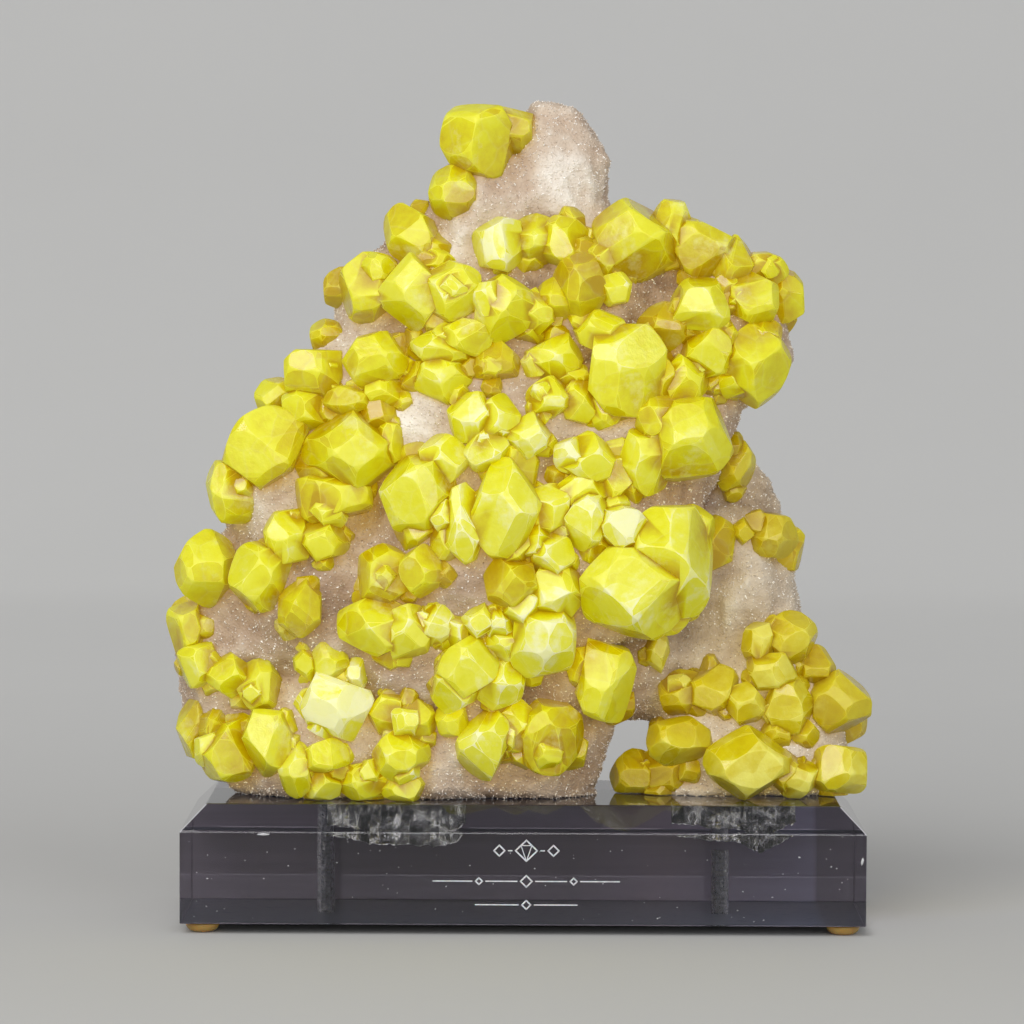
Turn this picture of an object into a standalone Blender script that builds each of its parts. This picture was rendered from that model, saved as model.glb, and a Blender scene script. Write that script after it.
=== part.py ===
"""Native sulfur crystals on drusy matrix, cemented into a clear bevelled block on four bumper feet.

Lengths in the tables are millimetres and become metres through MM. X runs to the right, -Y is the
front, Z is up, and the feet stand at z = 0.
"""
import itertools
import math
import random

import bmesh
import bpy
from mathutils import Euler, Matrix, Vector
from mathutils.bvhtree import BVHTree

MM = 0.001
GAP = 0.3 * MM                    # clearance kept between touching pieces

# Display block: 8 x 3 x 1 3/8 inches, bevelled along its top edges
BLOCK_WIDTH = 203 * MM
BLOCK_DEPTH = 76 * MM
BLOCK_HEIGHT = 35 * MM
BLOCK_BEVEL = 7.4 * MM

# Bumper feet: low domes with a small flat to stand on
FOOT_RADIUS = 5 * MM
FOOT_FLAT_RADIUS = 2.2 * MM
FOOT_HEIGHT = 3 * MM
FOOT_INSET = 6.4 * MM             # from each side of the block to the middle of the foot
FOOT_RIM = 0.4 * MM               # the dome ends this far below the disc's upper side
FOOT_STEPS = 12

# Fixing pins: clear rods in drilled holes
PIN_RADIUS = 2.4 * MM
PIN_SPREAD = 59.3 * MM            # from the middle of the block to each pin
PIN_RECESS = 0.6 * MM             # how far a pin stays inside the block's underside
PIN_TOPS = {"left": 38 * MM, "right": 22 * MM}    # under the rock, and under the right seat
PIN_STEPS = 12

BLOCK_TOP = FOOT_HEIGHT + BLOCK_HEIGHT
ROCK_BASE = BLOCK_TOP + GAP

# The crystals' places are set out on the block's front plane, as an eye in front of the block sees
# them, and are carried back along the eye's line of sight to the rock.
EYE = Vector((0, -1368 * MM, 208.5 * MM))
FRONT_PLANE = -BLOCK_DEPTH / 2
GLANCE_STEP = 2 * MM              # a line that misses the rock is searched in these steps
GLANCE_RANGE = (10, 34)           # from the front plane on, for the place nearest to it

# Rock lobes: middle x, y, z and half sizes along x, y, z
MAIN_LOBES = [
    (-60, 0, 52, 34, 24, 24),
    (-85, 2, 62, 19, 18, 18),
    (-84, 2, 79, 21, 19, 26),
    (-86, 3, 100, 15, 16, 17),
    (-22, 0, 52, 38, 25, 24),
    (2, -2, 52, 24, 20, 22),
    (-55, -2, 98, 34, 24, 28),
    (-68, 0, 128, 24, 19, 24),
    (-22, -4, 84, 34, 26, 30),
    (-12, -8, 108, 40, 26, 34),
    (22, -8, 112, 34, 23, 30),
    (16, -2, 78, 18, 20, 20),
    (31, 4, 79, 14, 16, 18),
    (-10, -4, 146, 44, 24, 30),
    (33, -4, 148, 30, 21, 27),
    (-50, 0, 154, 24, 18, 22),
    (-44, 2, 184, 15, 14, 18),
    (-14, 0, 182, 32, 21, 26),
    (16, 0, 182, 28, 20, 24),
    (52, 0, 178, 24, 17, 20),
    (66, 2, 176, 14, 13, 21),
    (62, 2, 190, 19, 13, 13),
    (38, 2, 199, 18, 13, 14),
    (-30, 3, 202, 13, 12, 14),
    (-10, 2, 212, 18, 15, 22),
    (8, 3, 218, 15, 13, 20),
    (9, 4, 235, 11, 11, 13),
    (15, 3, 226, 9, 11, 14),
    (13, 3, 206, 14, 14, 20),
]
SLAB_LOBES = [
    (58, 12, 131, 11, 13, 17),
    (62, 12, 116, 17, 15, 24),
    (67, 11, 96, 17, 16, 26),
    (72, 9, 74, 18, 18, 22),
    (84, 8, 60, 16, 17, 18),
    (62, 4, 44, 21, 15, 12),
    (60, 7, 54, 21, 20, 20),
    (82, 7, 48, 19, 20, 17),
    (54, 10, 78, 17, 17, 22),
    (48, 12, 96, 17, 15, 20),
]
BACK_LOBES = [
    (-30, 14, 100, 52, 14, 46),
    (20, 14, 128, 36, 13, 42),
    (-8, 14, 170, 42, 12, 36),
    (-44, 12, 66, 34, 16, 26),
]
ROCK_VOXEL = 3.4 * MM
ROCK_SOFTENING = 4                # smoothing steps that melt the lobes into each other
ROCK_LUMPS = {"VORONOI": (17, -5), "CLOUDS": (7, 2.4)}    # spacing and height of lumps, then of knobs
ROCK_TRIANGLES = 840
BACK_PLANE = 26 * MM              # the rough back is broken off about here
BACK_TILT = (0.04, 1, 0.02)

# Plugs of rock in the seats: middle x, y, half width, half depth, then how deep the seat is at its
# left and at its right end
SEATS = {
    "left": (-36, -7, 19.5, 15, 8.5, 13.5),
    "right": (58, 3, 24, 12, 8.0, 14.0),
}
SEAT_STEPS = 14
SEAT_RINGS = ((0.98, 0), (0.86, 0.55), (0.5, 0.92))    # share of the width, share of the depth
SEAT_COLLAR = 0.7                 # the plug narrows to this share inside the rock
SEAT_OVERLAP = 4 * MM             # and reaches this far up into it
RAGGED_RIM = 0.05
RAGGED_FLOOR = 0.12

# Orthorhombic sulfur: lengths of the axes, and the forms that grow on it with their distance from
# the middle of a crystal
SULFUR_AXES = (0.813, 1.0, 1.903)
LARGE_FORMS = {(1, 1, 1): 1.0, (0, 1, 1): 1.12, (0, 0, 1): 1.16, (1, 1, 3): 1.2}
SMALL_FORMS = {(1, 1, 1): 1.0, (0, 0, 1): 1.1}
LARGE_CRYSTAL = 18 * MM           # from this size on a crystal shows every form
FACE_JITTER = 0.13
CORNER_MERGE = 0.36                # corners nearer than this, in crystal radii, run together
SINK = 0.16                       # share of a crystal's width that its middle stands out of the rock
HIDDEN_SINK = 0.1

# Crystals on the front: x, z, width, height as they show on the front plane
CRYSTALS = {
    "crown": [
        (-14, 234, 20, 19), (-6, 237, 14, 13), (-21, 219, 13, 15), (-33, 206, 15, 18),
        (-8, 204, 14, 14), (2, 205, 14, 14), (11, 204, 13, 15), (16, 192, 14, 17),
    ],
    "upper_left": [
        (-45, 191, 17, 19), (-33, 190, 18, 20), (-22, 190, 16, 16), (-26, 198, 10, 9),
        (-44, 170, 17, 15), (-58, 177, 9, 9), (-62, 166, 15, 12), (-73, 159, 11, 10),
        (-64, 155, 13, 12), (-52, 158, 13, 8), (-41, 160, 11, 8), (-24, 173, 17, 12),
        (-17, 177, 13, 10), (-24, 164, 15, 13), (-9, 169, 13, 14), (-35, 167, 7, 8),
    ],
    "upper_middle": [
        (-6, 185, 16, 18), (3, 184, 12, 13), (9, 188, 11, 12), (26, 191, 9, 9), (8, 170, 15, 15),
        (30, 167, 20, 24), (22, 179, 14, 11), (7, 159, 12, 12), (16, 158, 11, 12), (24, 156, 10, 11),
        (14, 164, 10, 9), (-16, 153, 12, 14), (-8, 153, 12, 13), (1, 148, 12, 13),
        (-11, 144, 12, 12), (41, 180, 15, 14), (46, 163, 14, 16), (53, 173, 13, 15),
        (67, 169, 19, 22), (57, 164, 9, 9),
    ],
    "top_right": [
        (32, 205, 22, 22), (43, 207, 14, 18), (23, 200, 12, 14), (51, 202, 19, 18),
        (61, 198, 11, 16), (70, 197, 12, 9), (66, 189, 14, 15), (76, 189, 10, 14), (51, 186, 16, 15),
    ],
    "left": [
        (-76, 144, 22, 22), (-51, 143, 25, 24), (-40, 146, 10, 13), (-86, 131, 14, 16),
        (-56, 130, 20, 14), (-70, 118, 12, 14), (-59, 117, 14, 13), (-93, 108, 17, 21),
        (-77, 106, 18, 18), (-66, 97, 11, 15), (-99, 90, 11, 16), (-96, 80, 11, 12),
        (-87, 77, 12, 12), (-78, 74, 12, 14), (-63, 81, 9, 10), (-57, 81, 10, 12), (-50, 78, 8, 11),
    ],
    "lower_left": [
        (-55, 68, 19, 18), (-96, 61, 11, 15), (-86, 55, 16, 17), (-75, 57, 14, 18),
        (-67, 49, 9, 15), (-58, 53, 12, 10), (-59, 45, 10, 9), (-48, 46, 15, 10),
        (-36, 54, 15, 15), (-35, 44, 12, 9), (-39, 66, 12, 12), (-33, 64, 13, 13), (-21, 64, 9, 9),
    ],
    "centre": [
        (-31, 131, 21, 20), (-24, 141, 13, 13), (-18, 122, 13, 21), (-6, 126, 19, 27),
        (7, 126, 12, 14), (3, 117, 10, 10), (8, 113, 12, 13), (18, 123, 12, 16), (29, 121, 14, 12),
        (32, 102, 27, 24), (43, 111, 22, 28), (18, 141, 17, 15), (17, 132, 14, 10),
        (27, 136, 13, 13), (36, 141, 15, 18), (48, 147, 23, 22), (9, 102, 17, 15), (0, 98, 12, 12),
        (5, 89, 18, 22), (-44, 92, 19, 16), (-34, 90, 12, 15), (-26, 92, 10, 11), (-20, 90, 9, 10),
        (-13, 93, 10, 11), (-7, 93, 8, 10), (-6, 87, 10, 10), (-17, 80, 17, 18), (-20, 74, 13, 14),
        (-7, 75, 13, 14), (-12, 57, 14, 19), (-3, 62, 14, 15), (8, 59, 17, 19), (24, 76, 16, 22),
        (-41, 107, 14, 16), (-30, 108, 12, 14), (-4, 105, 14, 13),
    ],
    "slab": [
        (61, 139, 12, 15), (72, 119, 15, 12), (58, 117, 5, 6), (79, 89, 13, 14), (69, 87, 9, 11),
        (73, 79, 13, 10), (85, 80, 12, 12), (93, 70, 16, 17), (78, 68, 14, 17), (47, 72, 13, 13),
        (56, 73, 14, 14), (65, 69, 12, 12), (46, 58, 17, 13), (33, 48, 13, 14), (42, 49, 14, 13),
        (66, 52, 23, 20), (81, 47, 11, 11), (93, 50, 14, 13), (39, 85, 7, 12),
    ],
}

# Clumps of two crystals where the front doesn't show: a place along the side (y) or the back (x),
# then height and width
HIDDEN_CLUMPS = {
    "left_side": [(6, 90, 17), (10, 146, 16)],
    "right_side": [(10, 60, 17), (8, 112, 14), (6, 182, 15)],
    "back": [(-58, 96, 18), (-20, 150, 17), (32, 118, 19), (-4, 72, 15)],
}
CLUMP_SHARE = 0.8                 # size of a clump's second crystal
CLUMP_SLIDE = 0.46                # how far it sits to the side, in crystal widths
CLUMP_RISE = 0.4                  # and at most up or down
CRYSTAL_SEED = 4
FULLNESS = 1.18                   # corners are blunt, so a crystal is made this much over its outline
SMALLEST_PIECE = 40 * MM ** 3     # a crumb cut off by the rock is dropped below this volume
ROCK_SWELL = 0.6 * MM            # clearance to the rock, before flat neighbours are merged
FLAT_ANGLES = (9, 6, 4, 2, 0.5)     # neighbours flatter than this, in degrees, become one face
SHORT_EDGES = (0.6, 0.4, 0.25, 0.12, 0.05, 0.01)    # and edges under this, in mm, close up


def clear_scene():
    for old in list(bpy.data.objects):
        bpy.data.objects.remove(old, do_unlink=True)


def new_collection(name):
    collection = bpy.data.collections.new(name)
    bpy.context.scene.collection.children.link(collection)
    return collection


def principled(name, colour, roughness, transmission=0.0, ior=1.5):
    material = bpy.data.materials.new(name)
    material.use_nodes = True
    shader = material.node_tree.nodes["Principled BSDF"]
    shader.inputs["Base Color"].default_value = (*colour, 1)
    shader.inputs["Roughness"].default_value = roughness
    shader.inputs["Metallic"].default_value = 0
    shader.inputs["Transmission Weight"].default_value = transmission
    shader.inputs["IOR"].default_value = ior
    material.diffuse_color = (*colour, 1)
    return material


def add_object(name, mesh, collection, material=None):
    solid = bpy.data.objects.new(name, mesh)
    collection.objects.link(solid)
    if material:
        mesh.materials.clear()
        mesh.materials.append(material)
    return solid


def mesh_from(bm, name):
    bmesh.ops.recalc_face_normals(bm, faces=bm.faces)
    mesh = bpy.data.meshes.new(name)
    bm.to_mesh(mesh)
    bm.free()
    return mesh


def evaluated(solid):
    """The mesh as its modifiers leave it."""
    depsgraph = bpy.context.evaluated_depsgraph_get()
    return bpy.data.meshes.new_from_object(solid.evaluated_get(depsgraph), depsgraph=depsgraph)


def combine(solid, other, operation, self_crossing=False):
    """Boolean of two objects, applied; the second one is removed."""
    boolean = solid.modifiers.new("join", "BOOLEAN")
    boolean.operation = operation
    boolean.solver = "EXACT"
    boolean.use_self = self_crossing
    boolean.object = other
    mesh = evaluated(solid)
    solid.modifiers.clear()
    solid.data = mesh
    bpy.data.objects.remove(other, do_unlink=True)


def cut_off(bm, point, normal):
    """Take away what lies beyond a plane and close the cut."""
    cut = bmesh.ops.bisect_plane(bm, geom=bm.verts[:] + bm.edges[:] + bm.faces[:], dist=1e-6,
                                 plane_co=point, plane_no=normal, clear_outer=True)
    rim = [part for part in cut["geom_cut"] if isinstance(part, bmesh.types.BMEdge)]
    if rim:
        bmesh.ops.holes_fill(bm, edges=rim)


def linked_groups(bm):
    """The vertex indices of each loose body."""
    bm.verts.ensure_lookup_table()
    bm.verts.index_update()
    unseen = set(range(len(bm.verts)))
    groups = []
    while unseen:
        front = [bm.verts[min(unseen)]]
        group = set()
        while front:
            vert = front.pop()
            if vert.index not in group:
                group.add(vert.index)
                front += [edge.other_vert(vert) for edge in vert.link_edges]
        unseen -= group
        groups.append(group)
    return groups


def tidy_body(body):
    """Merge stray points and flat neighbours that a cut leaves, as boldly as stays one closed body."""
    for flat_angle, shortest in itertools.product(FLAT_ANGLES, SHORT_EDGES):
        bm = body.copy()
        bmesh.ops.dissolve_degenerate(bm, edges=bm.edges, dist=shortest * MM)
        bmesh.ops.dissolve_limit(bm, angle_limit=math.radians(flat_angle), verts=bm.verts,
                                 edges=bm.edges)
        bmesh.ops.triangulate(bm, faces=bm.faces)
        if all(edge.is_manifold for edge in bm.edges) and len(linked_groups(bm)) == 1:
            body.free()
            return bm
        bm.free()
    return body


def rod(name, radius, bottom, top, x, y, steps, collection, material=None):
    bm = bmesh.new()
    bmesh.ops.create_cone(bm, cap_ends=True, segments=steps, radius1=radius, radius2=radius,
                          depth=top - bottom, matrix=Matrix.Translation((x, y, (bottom + top) / 2)))
    return add_object(name, mesh_from(bm, name), collection, material)


def make_foot(name, x, y, collection, material):
    """A bumper: a disc on top, a dome below it and a small flat that stands on the table."""
    top = FOOT_HEIGHT - GAP
    slope = math.radians(54)
    knee = (FOOT_FLAT_RADIUS + (FOOT_RADIUS - FOOT_FLAT_RADIUS) * math.sin(slope),
            (top - FOOT_RIM) * (1 - math.cos(slope)))
    profile = [(0, 0), (FOOT_FLAT_RADIUS, 0), knee, (FOOT_RADIUS, top - FOOT_RIM), (FOOT_RADIUS, top),
               (0, top)]
    bm = bmesh.new()
    points = [bm.verts.new((radius, 0, z)) for radius, z in profile]
    edges = [bm.edges.new(pair) for pair in zip(points, points[1:])]
    bmesh.ops.spin(bm, geom=points + edges, axis=(0, 0, 1), cent=(0, 0, 0), angle=math.tau,
                   steps=FOOT_STEPS, use_merge=True)
    bmesh.ops.remove_doubles(bm, verts=bm.verts, dist=0.01 * MM)
    foot = add_object(name, mesh_from(bm, name), collection, material)
    foot.data.shade_smooth()
    foot.location = (x, y, 0)
    return foot


def make_plug(seat, name, collection, grow=0.0):
    """The rock's foot in its seat: a ragged bowl, deeper towards one end; grow makes the cutter."""
    x, y, half_width, half_depth, left_depth, right_depth = (value * MM for value in SEATS[seat])
    chance = random.Random(seat)
    bm = bmesh.new()
    rings = [[bm.verts.new((x + math.cos(turn) * SEAT_COLLAR * half_width,
                            y + math.sin(turn) * SEAT_COLLAR * half_depth, ROCK_BASE + SEAT_OVERLAP))
              for turn in (math.tau * step / SEAT_STEPS for step in range(SEAT_STEPS))]]
    for width_share, depth_share in SEAT_RINGS:
        ring = []
        for step in range(SEAT_STEPS):
            turn = math.tau * step / SEAT_STEPS
            reach = width_share * (1 + chance.uniform(-RAGGED_RIM, RAGGED_RIM))
            across = math.cos(turn) * reach
            depth = left_depth + (right_depth - left_depth) * (1 + across) / 2
            drop = depth * depth_share * (1 + chance.uniform(-RAGGED_FLOOR, RAGGED_FLOOR))
            ring.append(bm.verts.new((x + across * (half_width + grow),
                                      y + math.sin(turn) * reach * (half_depth + grow),
                                      ROCK_BASE - drop - (grow if drop else 0))))
        rings.append(ring)
    floor = bm.verts.new((x, y, ROCK_BASE - (left_depth + right_depth) / 2 - grow))
    for step in range(SEAT_STEPS):
        following = (step + 1) % SEAT_STEPS
        for upper, lower in zip(rings, rings[1:]):
            bm.faces.new((upper[step], upper[following], lower[following], lower[step]))
        bm.faces.new((rings[-1][step], rings[-1][following], floor))
    bm.faces.new(rings[0])
    bmesh.ops.triangulate(bm, faces=bm.faces)
    return add_object(name, mesh_from(bm, name), collection)


def make_rock(collection, cutters, material):
    """Lobes melted into one lumpy mass, cut off at the base and at the broken back."""
    bm = bmesh.new()
    for x, y, z, half_x, half_y, half_z in MAIN_LOBES + SLAB_LOBES + BACK_LOBES:
        place = Matrix.Translation(Vector((x, y, z)) * MM)
        size = Matrix.Diagonal((half_x * MM, half_y * MM, half_z * MM, 1))
        bmesh.ops.create_icosphere(bm, subdivisions=3, radius=1, matrix=place @ size)
    rock = add_object("matrix", mesh_from(bm, "matrix"), collection, material)
    remesh = rock.modifiers.new("melt", "REMESH")
    remesh.mode = "VOXEL"
    remesh.voxel_size = ROCK_VOXEL
    smooth = rock.modifiers.new("soften", "SMOOTH")
    smooth.iterations = ROCK_SOFTENING
    for kind, (spacing, height) in ROCK_LUMPS.items():
        texture = bpy.data.textures.new(kind, kind)
        texture.noise_scale = spacing * MM
        displace = rock.modifiers.new(kind, "DISPLACE")
        displace.texture = texture
        displace.texture_coords = "LOCAL"
        displace.strength = height * MM
        displace.mid_level = 0.35
    decimate = rock.modifiers.new("fewer faces", "DECIMATE")
    decimate.ratio = ROCK_TRIANGLES / len(evaluated(rock).polygons) / 2
    rock.data = evaluated(rock)
    rock.modifiers.clear()
    bm = bmesh.new()
    bm.from_mesh(rock.data)
    cut_off(bm, (0, 0, ROCK_BASE), (0, 0, -1))
    cut_off(bm, (0, BACK_PLANE, 0), BACK_TILT)
    bm = tidy_body(bm)
    bm.to_mesh(rock.data)
    bm.free()
    for seat in SEATS:
        combine(rock, make_plug(seat, "plug_" + seat, cutters), "UNION")
    return rock


def form_normals(form):
    """Every face normal of one crystal form, from its Miller indices."""
    normals = set()
    for signs in range(8):
        index = [value * (-1 if signs >> place & 1 else 1) for place, value in enumerate(form)]
        normals.add(tuple(value / length for value, length in zip(index, SULFUR_AXES)))
    return [Vector(normal).normalized() for normal in sorted(normals)]


def crystal_mesh(width, height, chance):
    """One blunt sulfur bipyramid: a cube cut by the faces of its forms, fitted to its size."""
    cube = bmesh.new()
    bmesh.ops.create_cube(cube, size=6)
    forms = LARGE_FORMS if max(width, height) >= LARGE_CRYSTAL else SMALL_FORMS
    for form, distance in forms.items():
        for normal in form_normals(form):
            cut_off(cube, normal * distance * (1 + chance.uniform(-FACE_JITTER, FACE_JITTER)), normal)
    bmesh.ops.remove_doubles(cube, verts=cube.verts, dist=CORNER_MERGE)
    turn = Euler([chance.uniform(-math.pi, math.pi) for _ in range(3)]).to_matrix()
    corners = [turn @ vert.co for vert in cube.verts]
    cube.free()
    bm = bmesh.new()
    low = [min(corner[axis] for corner in corners) for axis in range(3)]
    high = [max(corner[axis] for corner in corners) for axis in range(3)]
    spans = (width, (width + height) / 2, height)
    for corner in corners:
        bm.verts.new([(corner[axis] - (low[axis] + high[axis]) / 2) * spans[axis] / (high[axis] - low[axis])
                      for axis in range(3)])
    hull = bmesh.ops.convex_hull(bm, input=bm.verts)
    bmesh.ops.delete(bm, geom=hull["geom_interior"], context="VERTS")
    return bm


def sight_hit(rock_tree, x, z):
    """Where the eye's line through a place on the front plane meets the rock, or passes nearest."""
    aim = (Vector((x, FRONT_PLANE, z)) - EYE).normalized()
    hit = rock_tree.ray_cast(EYE, aim)
    if hit[0]:
        return hit[0], aim
    reach = [EYE + aim * (step * GLANCE_STEP - EYE.y + FRONT_PLANE) for step in range(*GLANCE_RANGE)]
    return min(reach, key=lambda place: rock_tree.find_nearest(place)[3]), aim


def place_front_crystals(rock_tree, chance):
    """(region, middle, bmesh) for each crystal that the front shows."""
    placed = []
    for region, rows in CRYSTALS.items():
        for x, z, width, height in rows:
            hit, aim = sight_hit(rock_tree, x * MM, z * MM)
            scale = FULLNESS * MM * (hit.y - EYE.y) / (FRONT_PLANE - EYE.y)
            middle = hit - aim * SINK * width * MM
            placed.append((region, middle, crystal_mesh(width * scale, height * scale, chance)))
    return placed


def place_hidden_crystals(rock_tree, chance):
    """The same for the clumps on the ends and the back."""
    starts = {
        "left_side": lambda along, z: (Vector((-0.2, along, z)), Vector((1, 0, 0))),
        "right_side": lambda along, z: (Vector((0.2, along, z)), Vector((-1, 0, 0))),
        "back": lambda along, z: (Vector((along, 0.2, z)), Vector((0, -1, 0))),
    }
    placed = []
    for region, clumps in HIDDEN_CLUMPS.items():
        for along, z, width in clumps:
            second = (CLUMP_SHARE, CLUMP_SLIDE, chance.uniform(-CLUMP_RISE, CLUMP_RISE))
            for share, slide, rise in ((1, 0, 0), second):
                start, aim = starts[region]((along + slide * width) * MM, (z + rise * width) * MM)
                hit = rock_tree.ray_cast(start, aim)[0]
                size = width * share * MM
                placed.append((region, hit + aim * HIDDEN_SINK * size, crystal_mesh(size, size, chance)))
    return placed


def islands(mesh):
    """Each loose body of a mesh as its own bmesh, the largest first."""
    bm = bmesh.new()
    bm.from_mesh(mesh)
    parts = []
    for group in linked_groups(bm):
        part = bm.copy()
        part.verts.ensure_lookup_table()
        bmesh.ops.delete(part, geom=[vert for vert in part.verts if vert.index not in group],
                         context="VERTS")
        parts.append(part)
    bm.free()
    return sorted(parts, key=lambda part: -part.calc_volume())


def name_island(body, placed, counts):
    """A body is called after the region that most of its crystals are listed in."""
    tree = BVHTree.FromBMesh(body)
    inside = [region for region, middle, size in placed if tree.find_nearest(middle)[3] < size * 0.4]
    region = max(sorted(set(inside)), key=inside.count)
    counts[region] = counts.get(region, 0) + 1
    return "%s_crystals_%d" % (region, counts[region])


def make_crystals(rock, collection, cutters, material):
    """All crystals melted where they cross, cut back from the rock, one object for each body."""
    rock_tree = BVHTree.FromObject(rock, bpy.context.evaluated_depsgraph_get())
    chance = random.Random(CRYSTAL_SEED)
    placed = []
    heap = bmesh.new()
    singles = place_front_crystals(rock_tree, chance) + place_hidden_crystals(rock_tree, chance)
    for region, middle, bm in singles:
        size = max(vert.co.length for vert in bm.verts)
        bmesh.ops.translate(bm, verts=bm.verts, vec=middle)
        cut_off(bm, (0, 0, ROCK_BASE), (0, 0, -1))
        placed.append((region, middle, size))
        single = mesh_from(bm, "crystal")
        heap.from_mesh(single)
        bpy.data.meshes.remove(single)
    crystals = add_object("crystals", mesh_from(heap, "crystals"), cutters)
    room = add_object("rock_room", rock.data.copy(), cutters)
    swell = room.modifiers.new("swell", "DISPLACE")
    swell.strength = ROCK_SWELL
    swell.mid_level = 0
    swell.texture_coords = "LOCAL"
    combine(crystals, room, "DIFFERENCE", self_crossing=True)
    counts = {}
    for body in islands(crystals.data):
        if body.calc_volume() < SMALLEST_PIECE:
            body.free()
            continue
        body = tidy_body(body)
        name = name_island(body, placed, counts)
        add_object(name, mesh_from(body, name), collection, material)
    bpy.data.objects.remove(crystals, do_unlink=True)


def make_block(collection, cutters, material):
    """The block: a box bevelled along its top edges, with both seats and both pin holes cut."""
    bm = bmesh.new()
    bmesh.ops.create_cube(bm, size=1)
    bmesh.ops.scale(bm, vec=(BLOCK_WIDTH, BLOCK_DEPTH, BLOCK_HEIGHT), verts=bm.verts)
    bmesh.ops.translate(bm, vec=(0, 0, FOOT_HEIGHT + BLOCK_HEIGHT / 2), verts=bm.verts)
    rim = [edge for edge in bm.edges if all(vert.co.z > BLOCK_HEIGHT / 2 for vert in edge.verts)]
    bmesh.ops.bevel(bm, geom=rim, offset=BLOCK_BEVEL, offset_type="OFFSET", affect="EDGES",
                    segments=1, profile=0.5, material=-1)
    block = add_object("acrylic_block", mesh_from(bm, "acrylic_block"), collection, material)
    for seat in SEATS:
        combine(block, make_plug(seat, "seat_" + seat, cutters, grow=GAP), "DIFFERENCE")
    for side, x in (("left", -PIN_SPREAD), ("right", PIN_SPREAD)):
        hole = rod("pin_hole", PIN_RADIUS + GAP, 0, PIN_TOPS[side] + GAP, x, 0, PIN_STEPS, cutters)
        combine(block, hole, "DIFFERENCE")


def make_pins(collection, material):
    for side, x in (("left", -PIN_SPREAD), ("right", PIN_SPREAD)):
        pin = rod("fixing_pin_" + side, PIN_RADIUS, FOOT_HEIGHT + PIN_RECESS, PIN_TOPS[side], x, 0,
                  PIN_STEPS, collection, material)
        pin.data.shade_smooth()
        pin.data.set_sharp_from_angle(angle=math.radians(40))


def make_feet(collection, material):
    for depth, y in (("front", -BLOCK_DEPTH / 2 + FOOT_INSET), ("back", BLOCK_DEPTH / 2 - FOOT_INSET)):
        for side, x in (("left", -BLOCK_WIDTH / 2 + FOOT_INSET), ("right", BLOCK_WIDTH / 2 - FOOT_INSET)):
            make_foot("foot_%s_%s" % (depth, side), x, y, collection, material)


def centre_origin(parts):
    """Move everything so that the origin is the middle of the whole footprint."""
    corners = [vert.co + solid.location for solid in parts.objects for vert in solid.data.vertices]
    middle = [(min(c[axis] for c in corners) + max(c[axis] for c in corners)) / 2 for axis in (0, 1)]
    for solid in parts.objects:
        solid.data.transform(Matrix.Translation(solid.location - Vector((*middle, 0))))
        solid.location = (0, 0, 0)


def build():
    clear_scene()
    parts = new_collection("native_sulfur_specimen")
    cutters = new_collection("cutters")
    acrylic = principled("smoky acrylic", (0.23, 0.21, 0.24), 0.04, transmission=1, ior=1.49)
    rod_clear = principled("clear rod", (0.62, 0.63, 0.66), 0.2, transmission=1, ior=1.49)
    amber = principled("amber bumper", (0.55, 0.33, 0.08), 0.25, transmission=0.6, ior=1.45)
    stone = principled("drusy matrix", (0.62, 0.5, 0.4), 0.75)
    sulfur = principled("sulfur", (0.8, 0.76, 0.03), 0.22, transmission=0.3, ior=1.96)
    make_block(parts, cutters, acrylic)
    make_pins(parts, rod_clear)
    make_feet(parts, amber)
    rock = make_rock(parts, cutters, stone)
    make_crystals(rock, parts, cutters, sulfur)
    centre_origin(parts)


build()
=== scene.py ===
import math
import random
import bmesh
import bpy
from mathutils import Euler, Matrix, Vector
from mathutils.bvhtree import BVHTree


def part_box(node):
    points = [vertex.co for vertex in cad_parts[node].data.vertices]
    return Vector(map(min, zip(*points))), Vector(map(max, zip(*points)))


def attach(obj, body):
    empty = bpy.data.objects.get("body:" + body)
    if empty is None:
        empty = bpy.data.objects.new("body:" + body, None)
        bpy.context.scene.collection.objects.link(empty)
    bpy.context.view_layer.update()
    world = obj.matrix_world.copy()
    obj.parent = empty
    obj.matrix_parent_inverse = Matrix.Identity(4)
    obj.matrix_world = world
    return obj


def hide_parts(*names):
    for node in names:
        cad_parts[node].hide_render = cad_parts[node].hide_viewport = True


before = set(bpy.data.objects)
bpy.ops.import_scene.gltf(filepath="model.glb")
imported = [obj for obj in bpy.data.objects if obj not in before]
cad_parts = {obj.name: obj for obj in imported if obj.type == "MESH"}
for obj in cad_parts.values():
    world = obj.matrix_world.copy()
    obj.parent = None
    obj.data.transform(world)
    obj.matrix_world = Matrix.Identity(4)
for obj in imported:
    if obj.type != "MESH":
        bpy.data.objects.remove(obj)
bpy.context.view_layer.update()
mm = 0.001
blockLow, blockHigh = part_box("acrylic_block")
middle = Vector(((blockLow.x + blockHigh.x) / 2, (blockLow.y + blockHigh.y) / 2, 0))    # of the block
blockTop = blockHigh.z
print("frame loaded, block centred at", middle)


# camera

cameraSetup = {
    "eye": (0, -1368, 208.5),       # from the middle of the block, mm
    "aim": (-3.7, -38, 125.5),
    "lens": 159.4,
    "roll": 0.25,                   # degrees
}


def placeCamera(setup):
    eye = middle + Vector(setup["eye"]) * mm
    look = middle + Vector(setup["aim"]) * mm - eye
    camera = bpy.data.objects.new("viewer", bpy.data.cameras.new("viewer"))
    bpy.context.scene.collection.objects.link(camera)
    camera.data.lens = setup["lens"]
    camera.data.clip_start = 0.05
    turn = look.to_track_quat("-Z", "Y").to_matrix() @ Matrix.Rotation(math.radians(setup["roll"]), 3, "Z")
    camera.matrix_world = Matrix.Translation(eye) @ turn.to_4x4()
    bpy.context.scene.camera = camera
    return eye


eye = placeCamera(cameraSetup)
frontPlane = blockLow.y
print("camera placed")


# node helpers

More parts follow.
